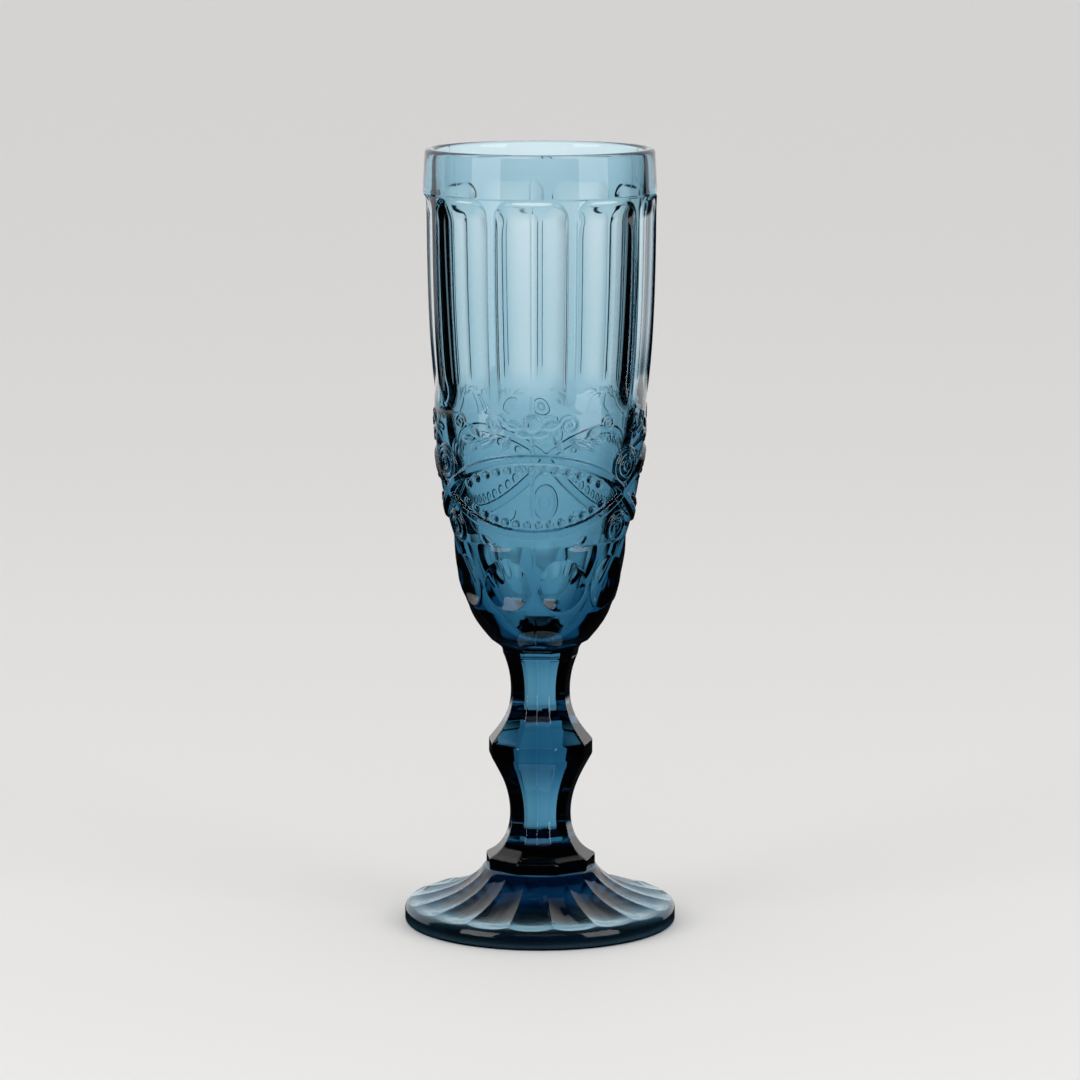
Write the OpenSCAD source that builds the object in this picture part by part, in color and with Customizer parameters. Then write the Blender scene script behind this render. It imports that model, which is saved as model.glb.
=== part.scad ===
// Pressed-glass champagne flute: bowl, stem and foot, each a separate solid,
// stacked on the flute's axis and joined hot, face to face.
// Millimetres, +Z up, origin at the centre of the foot's resting plane.

/* [Bowl] */
// Height of the bowl, from the stem to the rim
bowl_h = 130; // [110:1:170]
// Diameter of the smooth band at the rim
rim_d = 58.6; // [50:0.2:75]
// Wall at the rim
rim_wall = 2.6; // [2.2:0.1:4]
// Height of the smooth band
band_h = 11.5; // [8:0.5:18]
// How much the smooth band widens down to its lower edge, on the radius
band_swell = 0.4; // [0:0.05:0.8]
// How far the panels' ridges stand in from the band, on the radius
band_step = 0.1; // [0.05:0.05:0.8]
// Diameter over the ridges at the foot of the panels
panel_foot_d = 54; // [44:0.2:64]
// Wall at the ornament band
wall_at_ornament = 5.6; // [4.5:0.1:8]
// Glass between the cavity and the stem
floor_t = 8; // [5:0.5:14]

/* [Bowl ornament] */
// Number of panels, and of thumbprints
panel_count = 9; // [8:1:12]
// Radius at which a panel's two ends curve out of the wall
panel_end_r = 2.8; // [1.5:0.1:4]
// Width of the ridge between two panels
ridge_w = 1.5; // [0.8:0.1:3]
// Height of the ornament band
ornament_h = 34; // [28:0.5:44]
// Number of medallions round the bowl
medallion_count = 3; // [2:1:4]
// Height of a medallion
medallion_h = 20.6; // [14:0.2:28]
// Width of a medallion's ribbon
ribbon_w = 2.2; // [1.2:0.1:3]
// How far the ribbons and rosettes stand out
relief = 0.9; // [0.2:0.1:1.2]
// Radius of the upper rosettes
rosette_r = 4.6; // [3:0.1:5.5]
// Radius of the lower rosettes
small_rosette_r = 3.8; // [2.5:0.1:5]

/* [Bowl base] */
// Height of the ring of thumbprints
thumb_ring_h = 18; // [14:0.5:24]
// Diameter above the thumbprints
thumb_top_d = 44; // [36:0.2:52]
// Diameter below the thumbprints
thumb_low_d = 36.6; // [30:0.2:44]
// Radius of the tool that presses one thumbprint
thumb_tool_r = 19; // [14:0.5:30]
// Depth of a thumbprint
thumb_depth = 1.8; // [0.5:0.1:2.4]
// Height of the plain base under the thumbprints
base_h = 13; // [9:0.5:18]

/* [Stem] */
// Height of the stem, with its knop and collar
stem_h = 55.5; // [45:0.5:75]
// Number of flats round the stem
stem_flats = 9; // [6:1:12]
// Diameter over the corners at the top of the stem
stem_top_d = 19.8; // [17:0.2:26]
// Diameter over the corners at the upper waist
upper_waist_d = 15.6; // [12:0.1:19]
// Diameter over the corners at the lower waist
lower_waist_d = 16.1; // [12:0.1:19]
// Diameter over the corners of the knop
knop_d = 27.4; // [22:0.2:34]
// Height of the straight part of the knop
knop_h = 3.8; // [2:0.2:6]
// Height of the knop's middle above the foot
knop_z = 31.2; // [27:0.2:36]
// Diameter over the corners of the collar
collar_d = 28.8; // [26:0.2:36]
// Height of the collar's straight side
collar_h = 3; // [2:0.1:5]

/* [Foot] */
// Diameter of the foot
foot_d = 70; // [60:0.2:90]
// Height of the foot, from the resting plane to the collar
foot_h = 14.5; // [12:0.5:20]
// Height of the foot's top edge
foot_edge_h = 5.6; // [4.5:0.1:7]
// Number of flutes round the foot
flute_count = 18; // [12:2:24]
// Depth of the flutes
flute_depth = 0.9; // [0.2:0.05:1.2]
// Width of the resting ring
rest_ring_w = 5; // [3:0.5:8]
// Depth of the hollow under the foot
hollow_depth = 1.6; // [0.5:0.1:2.5]

/* [Hidden] */
$fn = 64;
CURVE_STEPS = 10;
LIP_STEPS = 6;
CLEAR = 1;
FAR = 5;

// Shares of a height or a width at which a form lies
LIP_ROUND = 0.42;
MEDALLION_AT = 0.38;
MEDALLION_SPAN = 0.97;
ROSETTE_IN = 0.75;
SMALL_ROSETTE_IN = 0.4;
CAVITY_WAIST_AT = 0.66;
LOWER_WAIST_AT = 0.42;
UPPER_WAIST_AT = 0.57;
PANEL_FULL_AT = 0.45;
HOLLOW_START = 0.6;
HOLLOW_OUTER = 0.6;
HOLLOW_INNER = 0.3;

// The two handles of each curve, as shares of the way out and of the way up between its ends
base_handles = [[0.12, 0.25], [0.80, 0.55]];
thumb_handles = [[0.55, 0.25], [0.97, 0.55]];
ornament_handles = [[0.45, 0.20], [0.97, 0.62]];
panel_handles = [[0.90, 0.22], [1, 0.45]];
cavity_handles = [[0.06, 0.38], [0.36, 0.82]];
floor_handles = [[0.19, 0.40], [0.46, 1]];
collar_handles = [[0.62, 0.14], [1, 0.50]];
knop_low_handles = [[0, 0.42], [0.53, 0.70]];
knop_top_handles = [[0.48, 0.26], [1, 0.52]];
neck_handles = [[0, 0.45], [0.50, 0.76]];
foot_handles = [[0.20, 0.58], [0.60, 0.86]];

glass_pale = [0.62, 0.79, 0.87, 0.55];
glass_blue = [0.20, 0.43, 0.58, 0.75];
glass_deep = [0.12, 0.28, 0.42, 0.85];

// Heights of the joints and of the bowl's zones
stem_z = foot_h;
bowl_z = stem_z + stem_h;
rim_z = bowl_z + bowl_h;
thumb_z = bowl_z + base_h;
ornament_z = thumb_z + thumb_ring_h;
panel_z = ornament_z + ornament_h;
band_z = rim_z - band_h;
medallion_z = ornament_z + MEDALLION_AT * ornament_h;

rim_r = rim_d / 2;
ridge_r = rim_r + band_swell - band_step;
panel_foot_r = panel_foot_d / 2;
thumb_top_r = thumb_top_d / 2;
thumb_low_r = thumb_low_d / 2;
neck_r = stem_top_d / 2;
cavity_r = rim_r - rim_wall;
lip_r = LIP_ROUND * rim_wall;
foot_r = foot_d / 2;
flat_ratio = cos(180 / stem_flats);

// A point part of the way from a to b: share[0] of the way out and share[1] of the way up
function between(a, b, share) = [a[0] + (b[0] - a[0]) * share[0], a[1] + (b[1] - a[1]) * share[1]];

// A cubic curve from a to b, without its last point
function curve(a, h1, h2, b) = [
    for (i = [0 : CURVE_STEPS - 1])
        let (t = i / CURVE_STEPS, s = 1 - t)
        s * s * s * a + 3 * s * s * t * h1 + 3 * s * t * t * h2 + t * t * t * b
];

// The same curve, with its handles given as shares
function sweep(a, b, handles) = curve(a, between(a, b, handles[0]), between(a, b, handles[1]), b);

// An arc about centre c, from angle from to angle to, with both its ends
function arc(c, r, from, to, steps = LIP_STEPS) = [
    for (i = [0 : steps])
        let (a = from + (to - from) * i / steps)
        c + r * [cos(a), sin(a)]
];

// The bowl's outside from the stem up to the lip, as [radius, height]
base_start = [neck_r, bowl_z];
thumb_start = [thumb_low_r, thumb_z];
ornament_start = [thumb_top_r, ornament_z];
panel_start = [panel_foot_r, panel_z];
band_start = [ridge_r, band_z];
thumb_wall = sweep(thumb_start, ornament_start, thumb_handles);
function outside() = concat(
    sweep(base_start, thumb_start, base_handles),
    thumb_wall,
    sweep(ornament_start, panel_start, ornament_handles),
    sweep(panel_start, band_start, panel_handles),
    [band_start, [rim_r + band_swell, band_z + band_step + band_swell]],
    arc([rim_r - lip_r, rim_z - lip_r], lip_r, 0, 90)
);

// The cavity's wall from the lip down to the axis
cavity_top = [cavity_r, rim_z - lip_r];
cavity_waist = [panel_foot_r - wall_at_ornament, ornament_z + CAVITY_WAIST_AT * ornament_h];
cavity_floor = [0, bowl_z + floor_t];
function inside() = concat(
    arc([cavity_r + lip_r, rim_z - lip_r], lip_r, 90, 180),
    sweep(cavity_top, cavity_waist, cavity_handles),
    sweep(cavity_waist, cavity_floor, floor_handles),
    [cavity_floor]
);

// What lies within count flats, each a profile drawn straight across.
// profile is [distance of the flat from the axis, height], from one end to the other.
module flats(count, profile) {
    reach = 2 * max([for (p = profile) p[0]]);
    ends = [[-reach, profile[len(profile) - 1][1]], [-reach, profile[0][1]]];
    intersection_for (k = [0 : count - 1])
        rotate([90, 0, k * 360 / count - 90])
            linear_extrude(height = 2 * reach, center = true)
                polygon(concat(profile, ends));
}

// The flats of the stem run out on the bowl's round base, each with this radius
runout_r = 4;
module bowl_base_flats() {
    flat_a = stem_top_d / 2 * flat_ratio;
    wide = rim_r + FAR;
    flats(stem_flats, concat(
        [[flat_a, bowl_z - CLEAR]],
        arc([flat_a + runout_r, bowl_z], runout_r, 180, 90),
        [[wide, bowl_z + runout_r], [wide, rim_z + CLEAR]]));
}

module ring(profile) {
    rotate_extrude() polygon(profile);
}

// One panel's cut: flat across, and following the ridges up the bowl
module panel_cut() {
    inset = cos(180 / panel_count);
    wall = curve([panel_foot_r * inset, panel_z + panel_end_r],
                 between(panel_start, band_start, panel_handles[0]) - [panel_foot_r * (1 - inset), 0],
                 [ridge_r * inset, panel_z + PANEL_FULL_AT * (band_z - panel_z)],
                 [ridge_r * inset, band_z - panel_end_r]);
    far = rim_r + FAR;
    w = 2 * panel_foot_r * sin(180 / panel_count) - ridge_w;
    rotate([90, 0, 0])
        linear_extrude(height = w, center = true)
            polygon(concat(
                [[far, panel_z]],
                arc([panel_foot_r * inset + panel_end_r, panel_z + panel_end_r], panel_end_r, 270, 180),
                wall,
                arc([ridge_r * inset + panel_end_r, band_z - panel_end_r], panel_end_r, 180, 90),
                [[far, band_z]]));
}

module panels() {
    for (k = [0 : panel_count - 1])
        rotate([0, 0, k * 360 / panel_count - 90])
            panel_cut();
}

// A skin that stands out from the ornament band by relief
module relief_skin() {
    zone = [for (p = outside()) if (p[1] >= ornament_z && p[1] <= panel_z) p];
    ring(concat(
        [for (p = zone) p + [relief, 0]],
        [for (i = [len(zone) - 1 : -1 : 0]) zone[i] - [relief + CLEAR, 0]]));
}

// Two arcs that meet in points: the outline of a medallion, drawn at its front
LENS_FN = 96;
module lens(half_w, half_h) {
    big_r = (half_w * half_w + half_h * half_h) / (2 * half_h);
    intersection() {
        translate([0, half_h - big_r]) circle(big_r, $fn = LENS_FN);
        translate([0, big_r - half_h]) circle(big_r, $fn = LENS_FN);
    }
}

// Stands a drawing on the front of the bowl, pressed outwards
module pressed(turn, z) {
    rotate([0, 0, turn])
        translate([0, 0, z])
            rotate([90, 0, 0])
                linear_extrude(height = rim_r + FAR)
                    children();
}

medallion_half_w = (thumb_top_r + panel_foot_r) / 2 * sin(180 / medallion_count) * MEDALLION_SPAN;
module medallions() {
    intersection() {
        relief_skin();
        for (k = [0 : medallion_count - 1])
            pressed(k * 360 / medallion_count, medallion_z)
                difference() {
                    lens(medallion_half_w, medallion_h / 2);
                    lens(medallion_half_w - 2 * ribbon_w, medallion_h / 2 - ribbon_w);
                }
    }
}

module rosettes() {
    intersection() {
        relief_skin();
        for (k = [0 : medallion_count - 1]) {
            turn = (k + 0.5) * 360 / medallion_count;
            pressed(turn, medallion_z + medallion_h / 2 - rosette_r * ROSETTE_IN)
                circle(rosette_r);
            pressed(turn, medallion_z - medallion_h / 2 + small_rosette_r * SMALL_ROSETTE_IN)
                circle(small_rosette_r);
        }
    }
}

// Each thumbprint is pressed square to the sloping wall
module thumbprints() {
    middle = thumb_wall[CURVE_STEPS / 2];
    rise = thumb_wall[CURVE_STEPS / 2 + 1] - thumb_wall[CURVE_STEPS / 2 - 1];
    slope = atan2(rise[0], rise[1]);
    for (k = [0 : panel_count - 1])
        rotate([0, 0, (k + 0.5) * 360 / panel_count - 90])
            translate([middle[0], 0, middle[1]])
                rotate([0, slope, 0])
                    translate([thumb_tool_r - thumb_depth, 0, 0])
                        sphere(thumb_tool_r);
}

module bowl() {
    color(glass_pale)
    difference() {
        union() {
            intersection() {
                ring(concat([[0, bowl_z]], outside(), [[0, rim_z]]));
                bowl_base_flats();
            }
            medallions();
            rosettes();
        }
        panels();
        thumbprints();
        ring(concat([[0, rim_z + CLEAR], [cavity_r + lip_r, rim_z + CLEAR]], inside()));
    }
}

// The stem over its corners, from the collar up to the bowl
collar_edge = [collar_d / 2, stem_z + collar_h];
lower_waist = [lower_waist_d / 2, stem_z + (knop_z - knop_h / 2 + collar_h) * LOWER_WAIST_AT];
knop_low = [knop_d / 2, stem_z + knop_z - knop_h / 2];
knop_top = [knop_d / 2, stem_z + knop_z + knop_h / 2];
stem_top = [stem_top_d / 2, bowl_z];
upper_waist = between([upper_waist_d / 2, knop_top[1]], stem_top, [0, UPPER_WAIST_AT]);
function stem_side() = concat(
    [[collar_d / 2, stem_z]],
    sweep(collar_edge, lower_waist, collar_handles),
    sweep(lower_waist, knop_low, knop_low_handles),
    sweep(knop_top, upper_waist, knop_top_handles),
    sweep(upper_waist, stem_top, neck_handles),
    [stem_top]
);

module stem() {
    color(glass_blue)
    flats(stem_flats, [for (p = stem_side()) [p[0] * flat_ratio, p[1]]]);
}

// The collar's seat is this much wider than the collar, on the radius
seat_margin = 0.2;
seat_r = collar_d / 2 + seat_margin;
// Radii that round the foot's top edge and its heel
edge_round = 2.6;
heel_round = 1;
seat_edge = [seat_r, foot_h];
foot_edge = [foot_r - edge_round, foot_edge_h];

// The foot's top, from the collar out to the edge
function foot_top() = sweep(seat_edge, foot_edge, foot_handles);

module foot_blank() {
    ring(concat(
        [[0, foot_h]], foot_top(),
        arc([foot_r - edge_round, foot_edge_h - edge_round], edge_round, 90, 0),
        arc([foot_r - heel_round, heel_round], heel_round, 0, -90),
        [[foot_r - heel_round - rest_ring_w, 0]],
        curve([foot_r - heel_round - rest_ring_w - hollow_depth, hollow_depth * HOLLOW_START],
              [foot_r * HOLLOW_OUTER, hollow_depth], [foot_r * HOLLOW_INNER, hollow_depth],
              [0, hollow_depth]),
        [[0, hollow_depth]]));
}

// One flute's cut, a wide V that follows the foot's top and leaves its edge and seat whole
flute_gap = 0.5;
module flute_cut() {
    tilt = atan2(flute_depth, foot_edge[0] * tan(180 / flute_count));
    pivot_z = foot_edge_h;
    groove = [for (p = foot_top()) if (p[0] > seat_r + flute_gap && p[0] < foot_edge[0] - flute_gap) p];
    first = groove[0];
    last = groove[len(groove) - 1];
    above = concat(
        [[first[0] - flute_gap, foot_h + CLEAR]],
        [for (p = groove) p - [0, flute_depth * p[0] / foot_r]],
        [[last[0] + flute_gap, last[1] - flute_depth], [foot_edge[0] + CLEAR, foot_h + CLEAR]]);
    intersection_for (side = [-1, 1])
        translate([0, 0, pivot_z])
            rotate([90 + side * tilt, 0, 0])
                linear_extrude(height = foot_d, center = true)
                    polygon([for (p = above) p - [0, pivot_z]]);
}

module foot() {
    color(glass_deep)
    difference() {
        foot_blank();
        for (k = [0 : flute_count - 1])
            rotate([0, 0, k * 360 / flute_count - 90])
                flute_cut();
    }
}

bowl();
stem();
foot();
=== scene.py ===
# %% [markdown]
# # A champagne flute in pressed blue glass
# This lesson builds a footed flute from three pieces of the same glass: a panelled bowl with an
# ornament band, a nine-sided stem with a knop and a collar, and a fluted foot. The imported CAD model
# is loaded first and stays fixed. It says where the pieces meet and how large they are. The finer
# meshes made here take the places of its three plain solids.

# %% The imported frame
import math

import bpy
import numpy as np
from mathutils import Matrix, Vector


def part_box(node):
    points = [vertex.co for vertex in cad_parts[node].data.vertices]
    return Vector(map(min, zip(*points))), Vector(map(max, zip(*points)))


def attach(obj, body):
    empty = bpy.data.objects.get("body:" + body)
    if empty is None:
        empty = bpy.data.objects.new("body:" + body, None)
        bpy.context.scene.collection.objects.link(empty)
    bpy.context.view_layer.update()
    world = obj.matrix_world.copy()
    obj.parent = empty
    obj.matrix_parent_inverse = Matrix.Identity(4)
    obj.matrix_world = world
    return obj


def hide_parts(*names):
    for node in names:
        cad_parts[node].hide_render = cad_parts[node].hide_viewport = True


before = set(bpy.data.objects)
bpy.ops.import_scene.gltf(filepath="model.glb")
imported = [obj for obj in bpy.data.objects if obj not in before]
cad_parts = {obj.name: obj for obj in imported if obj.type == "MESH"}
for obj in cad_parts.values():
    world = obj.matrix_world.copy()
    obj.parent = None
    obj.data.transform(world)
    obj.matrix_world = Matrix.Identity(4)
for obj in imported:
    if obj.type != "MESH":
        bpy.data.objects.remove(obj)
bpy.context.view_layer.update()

# %% [markdown]
# Glassmakers think in millimetres and Blender in metres, so every size below is in millimetres and
# only the last step of each mesh turns it into metres. The two joints and the rim come from the
# frame, so this file follows the CAD model if its heights change.

# %% Heights that the frame gives
MM = 0.001
FOOT_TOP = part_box("foot")[1].z / MM
STEM_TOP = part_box("stem")[1].z / MM
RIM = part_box("bowl")[1].z / MM
FOOT_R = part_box("foot")[1].x / MM
print("foot to stem at", round(FOOT_TOP, 2), "mm, stem to bowl at", round(STEM_TOP, 2), "mm")
print("rim at", round(RIM, 2), "mm, foot radius", round(FOOT_R, 2), "mm")

# %% [markdown]
# A pressed glass is a turned shape with a pattern pressed into its outside. Each piece is
# therefore a stack of rings round the Z axis, as a potter would throw it, and the pattern is a
# change of each ring's radius. Numbers do this better than modelling by hand, because the panels
# repeat nine times, the medallions three times and the flutes eighteen times, all exactly.

# %% Angles round the glass, and three small helpers
COLUMNS = 720
turn = np.arange(COLUMNS) * 2 * math.pi / COLUMNS


def ease(x):
    """0 below 0, 1 above 1, and a soft S between them."""
    x = np.clip(x, 0, 1)
    return x * x * (3 - 2 * x)


def soft_min(a, b, blend):
    """The smaller of a and b, with the corner between them rounded over blend."""
    h = np.clip(0.5 + 0.5 * (b - a) / blend, 0, 1)
    return b + (a - b) * h - blend * h * (1 - h)


def local_angle(count, offset=0.0):
    """Each column's angle from the middle of the nearest of count equal sectors."""
    sector = 2 * math.pi / count
    return (turn - offset * sector + sector / 2) % sector - sector / 2


print("column spacing at the foot's edge:", round(FOOT_R * turn[1], 2), "mm")

# %% [markdown]
# The outlines are a few cubic curves, end to end. Each curve has its two ends and two handles, and
# a handle is given as a share of the way out and a share of the way up, which keeps it in
# proportion when an end moves.

# %% Curves for the outlines
def between(a, b, out, up):
    return (a[0] + (b[0] - a[0]) * out, a[1] + (b[1] - a[1]) * up)


def curve(a, b, first, second, steps=60):
    """Points (radius, height) of a cubic curve from a to b, with handles given as shares."""
    t = np.linspace(0, 1, steps)[:, None]
    h1, h2 = np.array(between(a, b, *first)), np.array(between(a, b, *second))
    return (1 - t) ** 3 * a + 3 * (1 - t) ** 2 * t * h1 + 3 * (1 - t) * t ** 2 * h2 + t ** 3 * b


def join(*runs):
    """Curves end to end, without the points that they share."""
    return np.concatenate([runs[0]] + [r[1:] for r in runs[1:]])


def arc(centre, radius, start, stop, steps=9):
    """Points of an arc, from angle start to angle stop in degrees."""
    a = np.radians(np.linspace(start, stop, steps))
    return np.stack([centre[0] + radius * np.cos(a), centre[1] + radius * np.sin(a)], 1)


# %% [markdown]
# `lathe` turns a stack of rings into one closed mesh. Its two ends are fans of triangles that
# close on the axis. Where an end is a joint, the two pieces were fused while they were hot, so the
# glass goes straight on there and has no surface that could bend or mirror light. The faces of
# such an end carry the number 1 in a face attribute, `joint`, and the glass material reads it.

# %% A closed mesh from a stack of rings
def ring(radius, height):
    """One ring of points. radius and height are numbers, or one value a column."""
    radius = np.broadcast_to(radius, (COLUMNS,))
    height = np.broadcast_to(height, (COLUMNS,))
    return np.stack([radius * np.sin(turn), -radius * np.cos(turn), height], 1)


def lathe(name, rings, joint_at_start, joint_at_end):
    rings = np.array(rings)
    count = len(rings)
    points = rings.reshape(-1, 3)
    poles = [[0, 0, rings[0][:, 2].mean()], [0, 0, rings[-1][:, 2].mean()]]
    first_pole, last_pole = len(points), len(points) + 1
    here = np.arange(COLUMNS)
    after = (here + 1) % COLUMNS
    quads = [np.stack([k * COLUMNS + here, k * COLUMNS + after,
                       (k + 1) * COLUMNS + after, (k + 1) * COLUMNS + here], 1)
             for k in range(count - 1)]
    top = (count - 1) * COLUMNS
    start_fan = np.stack([after, here, np.full(COLUMNS, first_pole)], 1)
    end_fan = np.stack([top + here, top + after, np.full(COLUMNS, last_pole)], 1)
    faces = start_fan.tolist() + end_fan.tolist() + np.concatenate(quads).tolist()
    mesh = bpy.data.meshes.new(name)
    mesh.from_pydata((np.concatenate([points, poles]) * MM).tolist(), [], faces)
    fused = np.zeros(len(faces), np.float32)
    fused[:COLUMNS] = joint_at_start
    fused[COLUMNS:2 * COLUMNS] = joint_at_end
    mesh.attributes.new("joint", "FLOAT", "FACE").data.foreach_set("value", fused)
    mesh.polygons.foreach_set("use_smooth", fused < 0.5)
    mesh.update()
    piece = bpy.data.objects.new(name, mesh)
    bpy.context.scene.collection.objects.link(piece)
    print(name, "has", len(mesh.vertices), "points and", len(mesh.polygons), "faces")
    return piece


JOINT_GAP = 0.01

# %% [markdown]
# ## The bowl
# The bowl's outside runs from the stem up through a round base, a ring of thumbprints, the
# ornament band, the panels and a smooth band to a rounded lip. The cavity inside is smooth,
# because it's pressed by a plunger, and the wall is thin at the rim and thick lower down.

# %% The bowl's zones and outlines
RIM_R = 29.3
RIM_WALL = 2.6
LIP_ROUND = 0.42
LIP_R = LIP_ROUND * RIM_WALL
NECK_R = 9.9
BAND_H, PANEL_H, ORNAMENT_H, THUMB_H = 11.5, 53.5, 34, 18
BAND_Z = RIM - BAND_H
PANEL_Z = BAND_Z - PANEL_H
ORNAMENT_Z = PANEL_Z - ORNAMENT_H
THUMB_Z = ORNAMENT_Z - THUMB_H
BAND_SWELL, RIDGE_SWELL = 0.5, 0.4
BAND_R = RIM_R + BAND_SWELL
RIDGE_R = RIM_R + RIDGE_SWELL
PANEL_FOOT_R = 27.1
THUMB_LOW_R, THUMB_TOP_R = 18.3, 22.0
ORNAMENT_WALL, WAIST_SHARE, FLOOR_H = 5.7, 0.66, 8
base_start = (NECK_R, STEM_TOP)
thumb_start = (THUMB_LOW_R, THUMB_Z)
ornament_start = (THUMB_TOP_R, ORNAMENT_Z)
panel_start = (PANEL_FOOT_R, PANEL_Z)
band_start = (RIDGE_R, BAND_Z)
thumb_wall = curve(thumb_start, ornament_start, (0.55, 0.25), (0.97, 0.55))
outline = join(
    curve(base_start, thumb_start, (0.12, 0.25), (0.80, 0.55)),
    thumb_wall,
    curve(ornament_start, panel_start, (0.45, 0.20), (0.97, 0.62)),
    curve(panel_start, band_start, (0.72, 0.22), (0.97, 0.50)),
    np.array([band_start, (BAND_R, BAND_Z + 0.7), (RIM_R, RIM - LIP_R)]))
cavity_top = (RIM_R - RIM_WALL, RIM - LIP_R)
cavity_waist = (PANEL_FOOT_R - ORNAMENT_WALL, ORNAMENT_Z + WAIST_SHARE * ORNAMENT_H)
cavity_floor = (0.0, STEM_TOP + FLOOR_H)
cavity = join(
    curve(cavity_top, cavity_waist, (0.06, 0.38), (0.36, 0.82)),
    curve(cavity_waist, cavity_floor, (0.19, 0.40), (0.46, 1.0)))
print("panels from", PANEL_Z, "to", BAND_Z, "mm; ornament from", ORNAMENT_Z, "mm")


# %% [markdown]
# Rings lie close together where the pattern is fine and further apart where the wall is plain, so
# that the points go where they can be seen.

# %% Ring heights up the outside
def heights(*runs):
    """Heights of the rings: runs of (from, to, spacing), each up to the next."""
    rows = [np.linspace(a, b, max(2, round((b - a) / gap) + 1))[:-1] for a, b, gap in runs]
    return np.concatenate(rows + [[runs[-1][1]]])


outside_z = heights(
    (STEM_TOP + JOINT_GAP / 2, THUMB_Z - 3, 0.45),
    (THUMB_Z - 3, PANEL_Z + 7, 0.28),
    (PANEL_Z + 7, BAND_Z - 6, 1.4),
    (BAND_Z - 6, BAND_Z + 1.5, 0.22),
    (BAND_Z + 1.5, RIM - LIP_R, 1.2))
z = outside_z[:, None]
wall = np.interp(outside_z, outline[:, 1], outline[:, 0])[:, None]
print(len(outside_z), "rings up the outside")

# %% [markdown]
# Nine panels are cut flat into the wall and leave a narrow rib between each two. A flat cut at
# distance d from the axis has the radius d / cos(angle). The cut has a rounded arch at its top: a
# low edge draws the arch, and a longer soft slope takes the rest of the depth. It fades at its foot.

# %% Panels
PANELS = 9
RIB_W, RIB_EDGE = 2.1, 0.7
ARCH_R = 4.2
ARCH_EDGE, ARCH_EDGE_SHARE = 1.6, 0.4
ARCH_SLOPE, PANEL_FADE = 6.5, 9.0
panel_angle = local_angle(PANELS)
half_sector = math.pi / PANELS
flat = wall * math.cos(half_sector) / np.cos(panel_angle)
from_rib = wall * (half_sector - np.abs(panel_angle)) - RIB_W / 2
shoulder = np.clip(ARCH_R - from_rib, 0, ARCH_R)
arch = ARCH_R - np.sqrt(ARCH_R ** 2 - shoulder ** 2)
across = ease(from_rib / RIB_EDGE + 0.2)
below_arch = BAND_Z + 0.3 - arch - z
under_band = ARCH_EDGE_SHARE * ease(below_arch / ARCH_EDGE)
under_band = under_band + (1 - ARCH_EDGE_SHARE) * ease(below_arch / ARCH_SLOPE)
above_foot = ease((z - PANEL_Z + 1.0 - 0.5 * arch) / PANEL_FADE)
panel_cut = (wall - soft_min(wall, flat - 0.12, 0.1)) * across * under_band * above_foot
print("deepest panel cut:", round(float(panel_cut.max()), 2), "mm")

# %% [markdown]
# The thumbprints are pressed by a round tool. Its ball stands square to the sloping wall, so each
# print is where the ball bites into the glass. A soft raised line follows each print's lower edge.

# %% Thumbprints
BALL_R = 19.0
PRINT_DEPTH = 1.8
middle = thumb_wall[len(thumb_wall) // 2]
rise = thumb_wall[len(thumb_wall) // 2 + 1] - thumb_wall[len(thumb_wall) // 2 - 1]
slope = math.atan2(rise[0], rise[1])
ball_r = middle[0] + (BALL_R - PRINT_DEPTH) * math.cos(slope)
ball_z = middle[1] - (BALL_R - PRINT_DEPTH) * math.sin(slope)
print_angle = local_angle(PANELS, 0.5)
reach = BALL_R ** 2 - (z - ball_z) ** 2 - (ball_r * np.sin(print_angle)) ** 2
ball = np.where(reach > 0, ball_r * np.cos(print_angle) - np.sqrt(np.abs(reach)), 1e3)
bite = wall - soft_min(wall, ball, 0.22)
near_edge = np.exp(-((ball - wall - 0.32) / 0.2) ** 2)
lower = ease((middle[1] + 1.5 - z) / 3) * ease((z - THUMB_Z + 3.5) / 2)
PRINT_LINE_H = 0.22
print_line = PRINT_LINE_H * near_edge * lower
print("deepest thumbprint:", round(float(bite.max()), 2), "mm")

# %% [markdown]
# The ornament repeats three times round the bowl. It's drawn with distances: how far a point of the
# wall is from a ribbon, a bead or a leaf. A raised shape is high where that distance is small. The
# place on the wall is (along, height): millimetres round the wall from a medallion's middle.

# %% Tools for drawing relief
REPEATS = 3
sector_angle = local_angle(REPEATS)
along = wall * sector_angle
beside = wall * (np.abs(sector_angle) - math.pi / REPEATS)


def raised(distance, half_width, height, soft=0.35):
    """A flat-topped ridge over the places nearer than half_width."""
    return height * (1 - ease((distance - half_width) / soft + 0.5))


def domed(distance, radius, height):
    """A round dome."""
    return height * np.sqrt(np.clip(1 - (distance / radius) ** 2, 0, 1))


def turned(u, v, cu, cv, tilt):
    """(u, v) seen from a shape's own middle, along and across it."""
    c, s = math.cos(math.radians(tilt)), math.sin(math.radians(tilt))
    return (u - cu) * c + (v - cv) * s, (v - cv) * c - (u - cu) * s


# %% [markdown]
# Two ribbons weave round the bowl. Where they part they frame a medallion, and where they meet
# they cross. Each is an arc of one circle, drawn as a flat raised band.
# A row of beads follows each ribbon inside the medallion.

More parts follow.
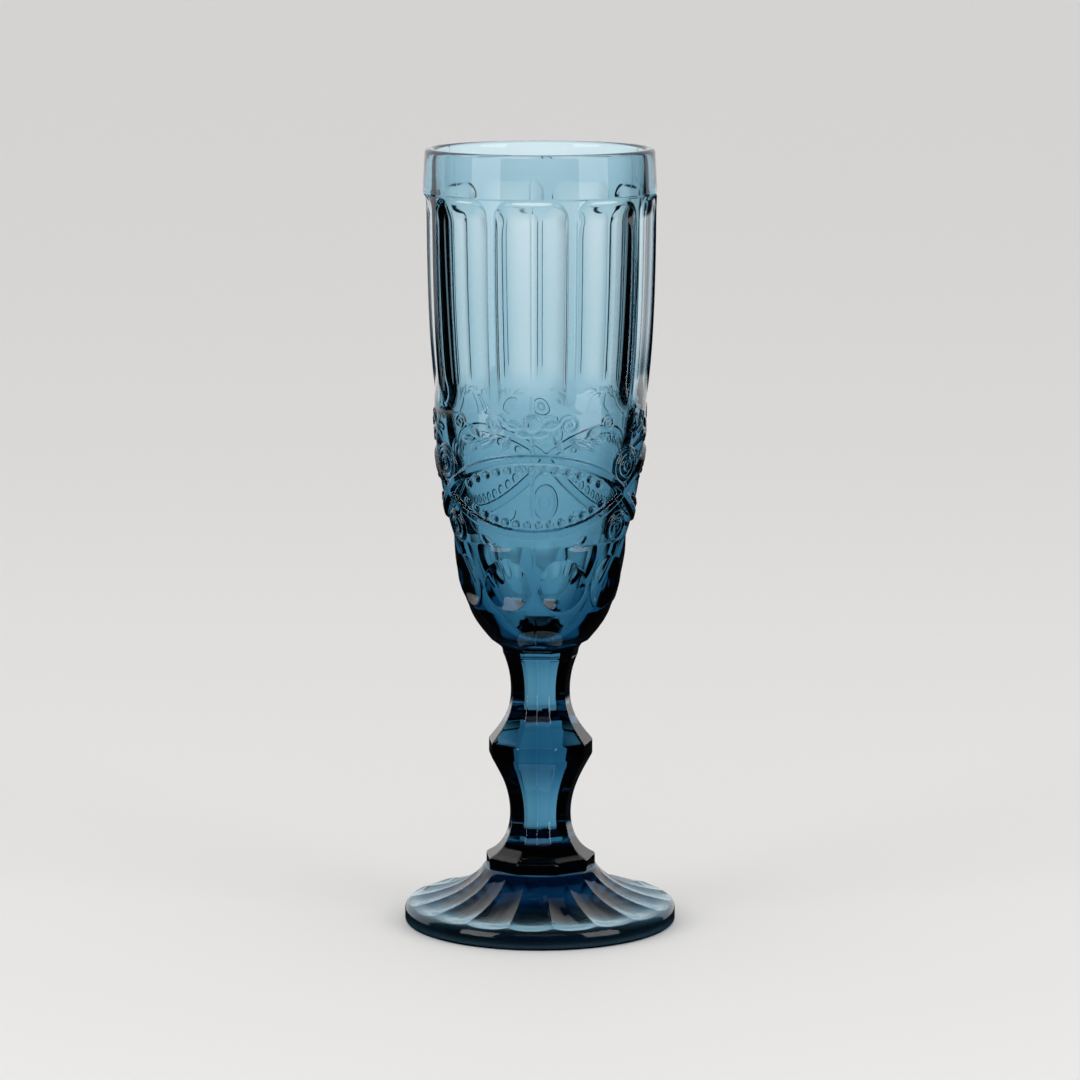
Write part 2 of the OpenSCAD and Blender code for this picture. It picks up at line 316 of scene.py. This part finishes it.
# %% Ribbons and beads
MEDALLION_Z = ORNAMENT_Z + 13.1
MEDALLION_HALF_W = 25.7
MEDALLION_HALF_H = 9.8
RIBBON_HALF_W, RIBBON_H = 1.05, 0.8
BEAD_R, BEAD_H = 1.05, 0.65
FAR_OFF = 99
MEDALLION_WALL_R = 24.54
BEAD_PITCH = 3.0
BEAD_INSET = 2.5
around = sector_angle * MEDALLION_WALL_R
arc_r = (MEDALLION_HALF_W ** 2 + MEDALLION_HALF_H ** 2) / (2 * MEDALLION_HALF_H)
relief = np.zeros_like(wall * sector_angle)
for side in (1, -1):
    centre_z = MEDALLION_Z - side * (arc_r - MEDALLION_HALF_H)
    from_centre = np.hypot(around, z - centre_z)
    off_ribbon = np.where(side * (z - centre_z) > 0, np.abs(from_centre - arc_r), FAR_OFF)
    ribbon = raised(off_ribbon, RIBBON_HALF_W, RIBBON_H)
    relief = np.maximum(relief, ribbon)
    bead_angle = np.arctan2(around, side * (z - centre_z))
    run = bead_angle * (arc_r - BEAD_INSET)
    shift = 0.0 if side > 0 else 0.5
    nearest = np.clip(np.round(run / BEAD_PITCH - shift), -6 - 2 * shift, 6) + shift
    off_bead = np.hypot(run - nearest * BEAD_PITCH, from_centre - arc_r + BEAD_INSET)
    relief = np.maximum(relief, domed(off_bead, BEAD_R, BEAD_H))
print("ribbon circle radius:", round(arc_r, 1), "mm")

# %% [markdown]
# A rosette sits above and below each crossing: a low disc with rings, like a wheel of petals. Each
# row holds its height over the medallions' middle, its radius and how far it stands out.

# %% Rosettes
ROSETTES = ((6.9, 5.1, 0.95), (-9.1, 4.2, 0.85))
ROSETTE_RING_H, ROSETTE_RING_PITCH = 0.16, 1.65
DISC_SHARE = 0.5
for above, radius, height in ROSETTES:
    off = np.hypot(beside, z - MEDALLION_Z - above)
    rings_on_disc = ROSETTE_RING_H * np.cos(off * 2 * math.pi / ROSETTE_RING_PITCH)
    rings_on_disc = rings_on_disc * ease((radius - off) / 0.8)
    rosette = raised(off, radius - 0.25, height * DISC_SHARE) + rings_on_disc
    relief = np.where(off < radius + 0.4, np.maximum(relief, rosette), relief)
print("upper rosettes at", round(MEDALLION_Z + ROSETTES[0][0], 1), "mm")

# %% [markdown]
# Between the medallions and the panels runs a frieze of flowers: a round flower over each
# medallion, with leaves and curls on either side. The two sides mirror each other. A leaf is given
# by its middle (along, height), length, width, tilt in degrees and relief; a curl by its middle,
# radius and relief.

# %% Flowers, leaves and curls
def leaf(u, v, cu, cv, length, width, tilt, height):
    """A pointed leaf with a vein."""
    a, b = turned(u, v, cu, cv, tilt)
    half = width / 2 * (1 - np.clip(np.abs(a) * 2 / length, 0, 1) ** 2)
    return raised(np.abs(b) - half, 0, height, 0.3) * (np.abs(a) < length / 2) \
        - raised(np.abs(b), 0.08, height * 0.35, 0.25) * (np.abs(a) < length / 2 - 0.4)


def curl(u, v, cu, cv, radius, height):
    """A tendril that winds in once."""
    du, dv = u - cu, v - cv
    winding = (np.arctan2(dv, du) + math.pi) / (2 * math.pi)
    off = np.hypot(du, dv)
    outer = np.abs(off - radius * (0.55 + 0.45 * winding))
    inner = np.abs(off - radius * 0.55 * winding)
    return np.maximum(raised(outer, 0.18, height, 0.3), raised(inner, 0.15, height, 0.3)) \
        * (off < radius + 0.8)


FLOWER_ABOVE = 19.0
flower_z = MEDALLION_Z + FLOWER_ABOVE
side_u = np.abs(along)
flower_off = np.hypot(along, z - flower_z)
frieze = [
    raised(flower_off, 2.15, 0.32) + domed(flower_off, 1.9, 0.18),
    leaf(side_u, z, 2.2, flower_z - 2.9, 4.0, 1.3, 8, 0.4),
    leaf(side_u, z, 4.9, flower_z - 0.6, 4.6, 2.0, 12, 0.35),
    leaf(side_u, z, 6.6, flower_z - 5.2, 4.4, 1.1, -62, 0.42),
    curl(side_u, z, 9.6, flower_z - 0.6, 2.7, 0.32),
    leaf(side_u, z, 12.4, flower_z - 5.4, 5.6, 2.0, -24, 0.42),
    leaf(side_u, z, 15.9, flower_z - 2.6, 4.6, 1.9, 38, 0.36),
    leaf(side_u, z, 17.6, flower_z - 4.6, 4.4, 1.7, -6, 0.36),
    leaf(side_u, z, 15.2, flower_z - 6.2, 4.0, 1.3, -40, 0.4),
    curl(side_u, z, 20.6, flower_z - 0.6, 1.9, 0.3)]
for shape in frieze:
    relief = np.maximum(relief, shape)
nick = leaf(side_u, z, 12.0, MEDALLION_Z - 11.7, 4.4, 1.9, 24, 0.55)
relief = relief - nick * (relief < 0.1)
relief = relief * ease((z - ORNAMENT_Z + 4) / 1.5) * ease((PANEL_Z + 2.5 - z) / 1.5)
print("tallest relief:", round(float(relief.max()), 2), "mm")

# %% [markdown]
# The mould opens in three parts, which leaves three thin seams up the glass. They are slight, but
# a glass without them looks machined.

# %% Mould seams
SEAM_H = 0.1
SEAM_HALF_W = 0.2


def seam(radius):
    """The height of the mould's seams on a wall of that radius."""
    across_seam = np.abs(local_angle(REPEATS)) * radius
    return SEAM_H * np.exp(-(across_seam / SEAM_HALF_W) ** 2)


# %% [markdown]
# The stem's nine flats don't stop at the joint. They go on up the bowl's round base and curve out
# of it. A polygon with softened corners has a handy formula: add the nine directions' cosines at
# a high power, and take that root. The higher the power, the sharper the corners.

# %% Nine flats with softened corners
FLATS = 9
CORNER_POWER = 96
FLAT_RATIO = math.cos(math.pi / FLATS)
directions = np.arange(FLATS)[:, None] * 2 * math.pi / FLATS
facing = np.clip(np.cos(turn - directions), 0, 1)
nine_sided = FLAT_RATIO / (facing ** CORNER_POWER).sum(0) ** (1 / CORNER_POWER)
RUNOUT_R = 4.0
up = np.clip(z - STEM_TOP, 0, RUNOUT_R)
flare = RUNOUT_R - np.sqrt(RUNOUT_R ** 2 - up ** 2)
flats_on_base = (NECK_R + flare / FLAT_RATIO) * nine_sided + 50 * (z > STEM_TOP + RUNOUT_R)
print("corner softening at the neck:", round(float(NECK_R * (1 - nine_sided.max())), 3), "mm")

# %% [markdown]
# Now the parts of the bowl's outside are put together. Cuts are taken from the wall's radius and
# relief is added to it. Near the joint the outline is blended into the stem's own nine-sided loop,
# so that the two pieces meet edge to edge. The lip is two arcs, and the cavity follows them down.

# %% The bowl
JOINT_BLEND = 1.2
bowl_r = soft_min(wall, flats_on_base, 0.3) - panel_cut - bite + print_line + relief + seam(wall)
loop_at_neck = NECK_R * nine_sided + seam(NECK_R)
blend_in = ease((z - STEM_TOP) / JOINT_BLEND)
bowl_r = loop_at_neck * (1 - blend_in) + bowl_r * blend_in
bowl_r = bowl_r + (1 - blend_in) * (wall - NECK_R) * blend_in
bowl_rings = [ring(r, h) for r, h in zip(bowl_r, outside_z)]
bowl_rings += [ring(r, h) for r, h in arc((RIM_R - LIP_R, RIM - LIP_R), LIP_R, 12, 90, 8)]
bowl_rings += [ring(r, h) for r, h in arc((cavity_top[0] + LIP_R, RIM - LIP_R), LIP_R, 90, 168, 8)]
cavity_rows = cavity[::2]
bowl_rings += [ring(r, h) for r, h in cavity_rows[:-1]]
bowl = lathe("bowl_glass", bowl_rings, 1, 0)

# %% [markdown]
# ## The stem
# The stem is one solid column with nine flats all the way: a collar at its foot, a waist, a knop
# in the middle with a short straight belt, a second waist and the neck.

# %% The stem
COLLAR_R, COLLAR_H = 14.4, 3.0
WAIST_LOW_R, WAIST_TOP_R = 8.05, 7.8
KNOP_R, KNOP_H, KNOP_ABOVE = 13.7, 3.8, 31.2
KNOP_Z = FOOT_TOP + KNOP_ABOVE
collar_edge = (COLLAR_R, FOOT_TOP + COLLAR_H)
knop_low, knop_top = (KNOP_R, KNOP_Z - KNOP_H / 2), (KNOP_R, KNOP_Z + KNOP_H / 2)
low_waist = (WAIST_LOW_R, FOOT_TOP + (KNOP_ABOVE - KNOP_H / 2 + COLLAR_H) * 0.42)
top_waist = (WAIST_TOP_R, knop_top[1] + (STEM_TOP - knop_top[1]) * 0.57)
stem_line = join(
    np.array([(COLLAR_R, FOOT_TOP), collar_edge]),
    curve(collar_edge, low_waist, (0.62, 0.14), (1.0, 0.50)),
    curve(low_waist, knop_low, (0.0, 0.42), (0.53, 0.70)),
    np.array([knop_low, knop_top]),
    curve(knop_top, top_waist, (0.48, 0.26), (1.0, 0.52)),
    curve(top_waist, (NECK_R, STEM_TOP), (0.0, 0.45), (0.50, 0.76)))
stem_z = heights((FOOT_TOP + JOINT_GAP / 2, FOOT_TOP + COLLAR_H + 3, 0.2),
                 (FOOT_TOP + COLLAR_H + 3, knop_low[1] - 2, 0.5),
                 (knop_low[1] - 2, knop_top[1] + 2, 0.2),
                 (knop_top[1] + 2, STEM_TOP - JOINT_GAP / 2, 0.5))
stem_r = np.interp(stem_z, stem_line[:, 1], stem_line[:, 0])
SOFTEN = 0.25
softened = sum(np.interp(stem_z + d, stem_line[:, 1], stem_line[:, 0])
               for d in (-SOFTEN, 0, SOFTEN)) / 3
at_ends = ease(np.minimum(stem_z - stem_z[0], stem_z[-1] - stem_z) / 0.6)
stem_r = stem_r + (softened - stem_r) * at_ends
stem_rings = [ring(r * nine_sided + seam(r), h) for r, h in zip(stem_r, stem_z)]
stem = lathe("stem_glass", stem_rings, 1, 1)

# %% [markdown]
# ## The foot
# The foot is a low cone with eighteen hollow flutes that end in scallops just inside a rounded
# edge. Underneath is a shallow hollow, so that the glass stands on a ring and doesn't rock.

# %% The foot
FLUTES = 18
FLUTE_DEPTH = 0.95
FLUTE_DEEPEN = 1.15
FLUTE_FADE_R, FLUTE_FADE_W, FLUTE_FADE = 29.5, 4, 0.62
EDGE_ROUND = 2.6
EDGE_Z = 5.6
HEEL = 1.0
REST_W = 5.0
HOLLOW = 1.6
SEAT_R = COLLAR_R + 0.2
foot_line = curve((SEAT_R, FOOT_TOP), (FOOT_R - EDGE_ROUND, EDGE_Z), (0.20, 0.58), (0.60, 0.86))
flute_place = np.abs(local_angle(FLUTES)) / (math.pi / FLUTES)
hollowed = 1 - np.sqrt(flute_place ** 4 + 0.004)


def foot_top(radius):
    """The height of the foot's top along one ring."""
    cone = np.interp(radius, foot_line[:, 0], foot_line[:, 1])
    cone = cone + 0.05 - 0.2 * max(0.0, radius - foot_line[-1, 0])
    start = ease((radius - SEAT_R - 0.05) / 1.6)
    end = 1 - FLUTE_FADE * ease((radius - FLUTE_FADE_R) / FLUTE_FADE_W)
    fluted = cone - FLUTE_DEPTH * radius / FOOT_R * FLUTE_DEEPEN * hollowed * start * end
    beyond = radius - (FOOT_R - EDGE_ROUND)
    if beyond < 0:
        return fluted
    edge = EDGE_Z - EDGE_ROUND + math.sqrt(EDGE_ROUND ** 2 - beyond ** 2)
    return soft_min(fluted, np.full(COLUMNS, edge), 0.1)


rest_r = FOOT_R - HEEL - REST_W
under = curve((0.0, HOLLOW), (rest_r, 0.0), (0.45, 0.0), (0.86, 0.12), 24)[1:]
foot_rings = [ring(r, h) for r, h in under]
foot_rings += [ring(FOOT_R - HEEL - 2.5, 0.0)]
foot_rings += [ring(r, h) for r, h in arc((FOOT_R - HEEL, HEEL), HEEL, 270, 360, 7)]
edge_arc = arc((FOOT_R - EDGE_ROUND, EDGE_Z - EDGE_ROUND), EDGE_ROUND, 0, 42, 8)
foot_rings += [ring(r, h) for r, h in edge_arc]
edge_top = edge_arc[-1][0] - 0.06
top_r = np.concatenate([np.linspace(edge_top, 32, 26)[:-1], np.linspace(32, SEAT_R, 64)])
foot_rings += [ring(r, foot_top(r)) for r in top_r]
loop_at_foot = COLLAR_R * nine_sided + seam(COLLAR_R)
for share in (0.5, 1.0):
    foot_rings.append(ring(SEAT_R + (loop_at_foot - SEAT_R) * share, FOOT_TOP - JOINT_GAP / 2))
foot = lathe("foot_glass", foot_rings, 0, 1)

# %% [markdown]
# ## Blue glass
# Glass colours light as it goes through, so thin walls look pale and thick ones deep. That is what
# an absorbing volume does: the same glass gives the pale rim and the dark knop, with no paint on
# the surface. TAKEN_PER_METRE is the absorption coefficient of red, green and blue light, and it was
# chosen by comparing colours. The foot's underside is rough, which softens the patches that show
# through the foot. A slight ripple and a cloudy polish vary the surface.

# %% The glass material
GLASS_IOR = 1.5
TAKEN_PER_METRE = (180.0, 100.0, 72.0)
MOST_POLISH, WORN_ROUGHNESS, WORN_INSET = 0.03, 0.5, 1.0
RIPPLE, RIPPLE_DISTANCE = 0.15, 0.00012
UNDERSIDE_BELOW = 0.0022


def node(tree, kind, **settings):
    made = tree.nodes.new(kind)
    for key, value in settings.items():
        setattr(made, key, value)
    return made


def pressed_glass(name, ripple_scale, worn_below=None):
    """Clear blue glass with the slight ripple and the uneven polish of a pressed surface."""
    material = bpy.data.materials.new(name)
    material.use_nodes = True
    tree = material.node_tree
    shader = tree.nodes["Principled BSDF"]
    shader.inputs["Base Color"].default_value = (1, 1, 1, 1)
    shader.inputs["Transmission Weight"].default_value = 1.0
    joint = node(tree, "ShaderNodeAttribute", attribute_name="joint")
    bend = node(tree, "ShaderNodeMapRange")
    bend.inputs["To Min"].default_value = GLASS_IOR
    bend.inputs["To Max"].default_value = 1.0
    tree.links.new(joint.outputs["Fac"], bend.inputs["Value"])
    tree.links.new(bend.outputs["Result"], shader.inputs["IOR"])
    place = node(tree, "ShaderNodeTexCoord")
    cloud = node(tree, "ShaderNodeTexNoise")
    cloud.inputs["Scale"].default_value = 90
    cloud.inputs["Detail"].default_value = 3
    polish = node(tree, "ShaderNodeMapRange")
    polish.inputs["From Min"].default_value = 0.45
    polish.inputs["From Max"].default_value = 0.75
    polish.inputs["To Min"].default_value = 0.0
    polish.inputs["To Max"].default_value = MOST_POLISH
    tree.links.new(place.outputs["Object"], cloud.inputs["Vector"])
    tree.links.new(cloud.outputs["Fac"], polish.inputs["Value"])
    roughness = polish.outputs["Result"]
    if worn_below is not None:
        split = node(tree, "ShaderNodeSeparateXYZ")
        wear = node(tree, "ShaderNodeMapRange")
        wear.inputs["From Min"].default_value = worn_below
        wear.inputs["From Max"].default_value = 0.0
        wear.inputs["To Max"].default_value = WORN_ROUGHNESS
        reach = node(tree, "ShaderNodeVectorMath", operation="LENGTH")
        within = node(tree, "ShaderNodeMapRange")
        within.inputs["From Min"].default_value = (FOOT_R - HEEL) * MM
        within.inputs["From Max"].default_value = (FOOT_R - HEEL - WORN_INSET) * MM
        total = node(tree, "ShaderNodeMath", operation="MULTIPLY_ADD")
        tree.links.new(place.outputs["Object"], split.inputs["Vector"])
        tree.links.new(split.outputs["Z"], wear.inputs["Value"])
        tree.links.new(place.outputs["Object"], reach.inputs[0])
        tree.links.new(reach.outputs["Value"], within.inputs["Value"])
        tree.links.new(wear.outputs["Result"], total.inputs[0])
        tree.links.new(within.outputs["Result"], total.inputs[1])
        tree.links.new(roughness, total.inputs[2])
        roughness = total.outputs["Value"]
    tree.links.new(roughness, shader.inputs["Roughness"])
    ripple = node(tree, "ShaderNodeTexNoise")
    ripple.inputs["Scale"].default_value = ripple_scale
    ripple.inputs["Detail"].default_value = 2
    bump = node(tree, "ShaderNodeBump")
    bump.inputs["Strength"].default_value = RIPPLE
    bump.inputs["Distance"].default_value = RIPPLE_DISTANCE
    tree.links.new(place.outputs["Object"], ripple.inputs["Vector"])
    tree.links.new(ripple.outputs["Fac"], bump.inputs["Height"])
    tree.links.new(bump.outputs["Normal"], shader.inputs["Normal"])
    tint = node(tree, "ShaderNodeVolumeAbsorption")
    most = max(TAKEN_PER_METRE) / 0.9
    tint.inputs["Density"].default_value = most
    tint.inputs["Color"].default_value = (*[1 - taken / most for taken in TAKEN_PER_METRE], 1)
    output = tree.nodes["Material Output"]
    tree.links.new(tint.outputs["Volume"], output.inputs["Volume"])
    return material


for piece, node_name, ripple_scale, worn_below in (
        (bowl, "bowl", 120, None), (stem, "stem", 160, None), (foot, "foot", 130, UNDERSIDE_BELOW)):
    slot_name = node_name + "_glass"
    piece.data.materials.append(pressed_glass("pressed_" + slot_name, ripple_scale, worn_below))
    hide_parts(node_name)
    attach(piece, "root")
print("colour passed by 7 mm:", [round(math.exp(-t * 0.007), 2) for t in TAKEN_PER_METRE])

# %% [markdown]
# ## Floor, light and camera
# Glass is lit from behind. A bright backdrop shines through it, and everything to the sides stays
# darker, which draws its edges in black. The floor lies a hair under the foot, so that the two
# surfaces don't fight, and rays that the glass bends or mirrors don't see it.

# %% Floor
floor_mesh = bpy.data.meshes.new("floor")
FLOOR_HALF = 12.0
floor_mesh.from_pydata([(-FLOOR_HALF, -FLOOR_HALF, 0), (FLOOR_HALF, -FLOOR_HALF, 0),
                        (FLOOR_HALF, FLOOR_HALF, 0), (-FLOOR_HALF, FLOOR_HALF, 0)],
                       [], [(0, 1, 2, 3)])
floor = bpy.data.objects.new("floor", floor_mesh)
bpy.context.scene.collection.objects.link(floor)
BELOW_FOOT = 0.00002
floor.location.z = -BELOW_FOOT
floor.visible_transmission = False
floor.visible_glossy = False
paper = bpy.data.materials.new("pale_paper")
paper.use_nodes = True
paper.node_tree.nodes["Principled BSDF"].inputs["Base Color"].default_value = (0.86, 0.85, 0.84, 1)
paper.node_tree.nodes["Principled BSDF"].inputs["Roughness"].default_value = 0.7
floor.data.materials.append(paper)

# %% [markdown]
# ## The room
# The room is painted on the sky by bearing and elevation: a backdrop behind the flute, a dim
# front and dim sides, a table below and a ceiling above. It isn't one physical room. The Light
# Path node tells how a ray got here, and rays through the glass, rays mirrored by it, rays that
# light the floor and rays straight to the camera each get their own light. A ray bent by glass
# counts as glossy too, so a mirrored one is glossy and not transmission. The cost is that the
# backdrop stands on one side only: seen from behind or from the side, the glass looks darker.

# %% The room, painted on the sky
BACKDROP, RIGHT_FADE, OTHER_SIDES = 1.12, 0.25, 0.35
TABLE, CEILING = 0.9, 0.7
WALL_MIRRORED, LEAST_MIRRORED, HIGH_MIRRORED = 0.85, 0.01, 0.35
OPEN_ROOM, STRAIGHT_TO_CAMERA = 0.8, 0.9
world = bpy.data.worlds.new("studio")
bpy.context.scene.world = world
world.use_nodes = True
sky = world.node_tree
background = sky.nodes["Background"]


def calc(operation, a, b=None, c=None):
    """One Math node. Its inputs are numbers or other nodes' outputs."""
    made = node(sky, "ShaderNodeMath", operation=operation)
    for socket, value in zip(made.inputs, (a, b, c)):
        if isinstance(value, (int, float)):
            socket.default_value = value
        elif value is not None:
            sky.links.new(value, socket)
    return made.outputs["Value"]


def step(value, low, high):
    """0 below low and 1 above high."""
    made = node(sky, "ShaderNodeMapRange", interpolation_type="SMOOTHSTEP")
    made.inputs["From Min"].default_value = low
    made.inputs["From Max"].default_value = high
    sky.links.new(value, made.inputs["Value"])
    return made.outputs["Result"]


looking = node(sky, "ShaderNodeSeparateXYZ")
sky.links.new(node(sky, "ShaderNodeTexCoord").outputs["Generated"], looking.inputs["Vector"])
bearing = calc("ARCTAN2", looking.outputs["X"], looking.outputs["Y"])
elevation = calc("ARCSINE", looking.outputs["Z"])
path = node(sky, "ShaderNodeLightPath")


def near(value, middle, half_width, soft=0.03):
    """1 where value is within half_width of middle, in radians."""
    off = calc("ABSOLUTE", calc("SUBTRACT", value, middle))
    return calc("SUBTRACT", 1.0, step(off, half_width - soft, half_width + soft))


CAMERA_TURN = math.radians(4.3)
north = calc("ADD", bearing, CAMERA_TURN)
behind = near(north, 0.0, math.radians(32))
in_front = near(calc("ABSOLUTE", bearing), math.pi, math.radians(26))
at_sides = near(calc("ABSOLUTE", bearing), math.pi / 2, math.radians(14))
not_steep = calc("MULTIPLY", step(elevation, math.radians(-34), math.radians(-26)),
                 calc("SUBTRACT", 1.0, step(elevation, math.radians(26), math.radians(40))))
to_right = step(north, math.radians(4), math.radians(18))
screen = calc("SUBTRACT", BACKDROP, calc("MULTIPLY", to_right, RIGHT_FADE))
backdrop = calc("MULTIPLY", calc("MULTIPLY", behind, not_steep), screen)
others = calc("MULTIPLY", calc("ADD", calc("MULTIPLY", in_front, OTHER_SIDES),
                               calc("MULTIPLY", at_sides, OTHER_SIDES)), not_steep)
table = calc("MULTIPLY", step(calc("MULTIPLY", elevation, -1.0),
                              math.radians(26), math.radians(36)), TABLE)
overhead = calc("MULTIPLY", step(elevation, math.radians(38), math.radians(58)), CEILING)
through = calc("ADD", calc("ADD", backdrop, others), calc("ADD", table, overhead))
above_table = step(elevation, math.radians(-9.5), math.radians(-7))
wide = calc("MULTIPLY", near(north, math.radians(-10), math.radians(62)), above_table)
below_ceiling = calc("SUBTRACT", 1.0, step(elevation, math.radians(40), math.radians(60)))
wide = calc("MULTIPLY", wide, calc("ADD", calc("MULTIPLY", below_ceiling, 0.75), 0.25))
high_in_front = calc("MULTIPLY", near(calc("ABSOLUTE", north), math.pi, math.radians(24)),
                     near(elevation, math.radians(36), math.radians(9)))
mirrored = calc("ADD", calc("ADD", calc("MULTIPLY", wide, WALL_MIRRORED), LEAST_MIRRORED),
                calc("MULTIPLY", high_in_front, HIGH_MIRRORED))
light = calc("MULTIPLY", through, path.outputs["Is Transmission Ray"])
only_mirrored = calc("MULTIPLY", path.outputs["Is Glossy Ray"],
                     calc("SUBTRACT", 1.0, path.outputs["Is Transmission Ray"]))
light = calc("ADD", light, calc("MULTIPLY", mirrored, only_mirrored))
light = calc("ADD", light, calc("MULTIPLY", path.outputs["Is Diffuse Ray"], OPEN_ROOM))
straight = calc("MULTIPLY", path.outputs["Is Camera Ray"], STRAIGHT_TO_CAMERA)
light = calc("ADD", light, straight)
sky.links.new(light, background.inputs["Strength"])
background.inputs["Color"].default_value = (1, 1, 1, 1)
print("sky nodes:", len(sky.nodes))

# %% [markdown]
# Two tall soft boxes stand to the front left and to the right and give quiet upright
# highlights. An area lamp is enough, because only its shape shows in the glass. Rays through the
# glass don't see the boxes, so they light the surface and don't glare inside it.

# %% Soft boxes
SOFT_BOX_WATTS = 4.5


def soft_box(name, bearing_deg, elevation_deg, distance, width, height, watts):
    lamp = bpy.data.lights.new(name, "AREA")
    lamp.shape = "RECTANGLE"
    lamp.size, lamp.size_y = width, height
    lamp.energy = watts
    holder = bpy.data.objects.new(name, lamp)
    bpy.context.scene.collection.objects.link(holder)
    b, e = math.radians(bearing_deg), math.radians(elevation_deg)
    towards = Vector((math.sin(b) * math.cos(e), math.cos(b) * math.cos(e), math.sin(e)))
    holder.location = towards * distance + Vector((0, 0, 0.1))
    holder.rotation_euler = towards.to_track_quat("Z", "Y").to_euler()
    holder.visible_camera = False
    holder.visible_transmission = False
    print(name, "at bearing", bearing_deg)


for side, bearing_deg in (("left", 230), ("right", 122)):
    soft_box("soft_box_" + side, bearing_deg, 12, 1.1, 0.62, 1.0, SOFT_BOX_WATTS)

# %% [markdown]
# The camera looks slightly down from a little to the right of the flute's front. Its distance,
# height and lens are fitted, so that the rim and the foot make the ellipses that they should.
# Depth of field and shift stay off.

# %% Camera
LENS, SENSOR = 149.35, 36
CAMERA_AWAY, CAMERA_UP, CAMERA_PITCH = 1135.3, 275.7, math.radians(8.819)
camera_data = bpy.data.cameras.new("camera")
camera = bpy.data.objects.new("camera", camera_data)
bpy.context.scene.collection.objects.link(camera)
bpy.context.scene.camera = camera
camera_data.sensor_width = SENSOR
camera_data.lens = LENS
camera_data.clip_start = 0.01
camera_data.clip_end = 100
camera.location = Vector((CAMERA_AWAY * math.sin(CAMERA_TURN),
                          -CAMERA_AWAY * math.cos(CAMERA_TURN), CAMERA_UP)) * MM
camera.rotation_euler = (math.pi / 2 - CAMERA_PITCH, 0, CAMERA_TURN)
print("camera", round(math.hypot(CAMERA_AWAY, CAMERA_UP)), "mm from the foot's middle")

# %% [markdown]
# A ray meets many surfaces on its way through thick patterned glass. If it were cut off early
# the knop and the foot would turn black, so many bounces are allowed. The Standard view keeps
# the backdrop white.

# %% Light paths and white
scene = bpy.context.scene
scene.cycles.max_bounces = 32
scene.cycles.transmission_bounces = 28
scene.cycles.glossy_bounces = 12
scene.view_settings.view_transform = "Standard"
print("bounces allowed:", scene.cycles.max_bounces)
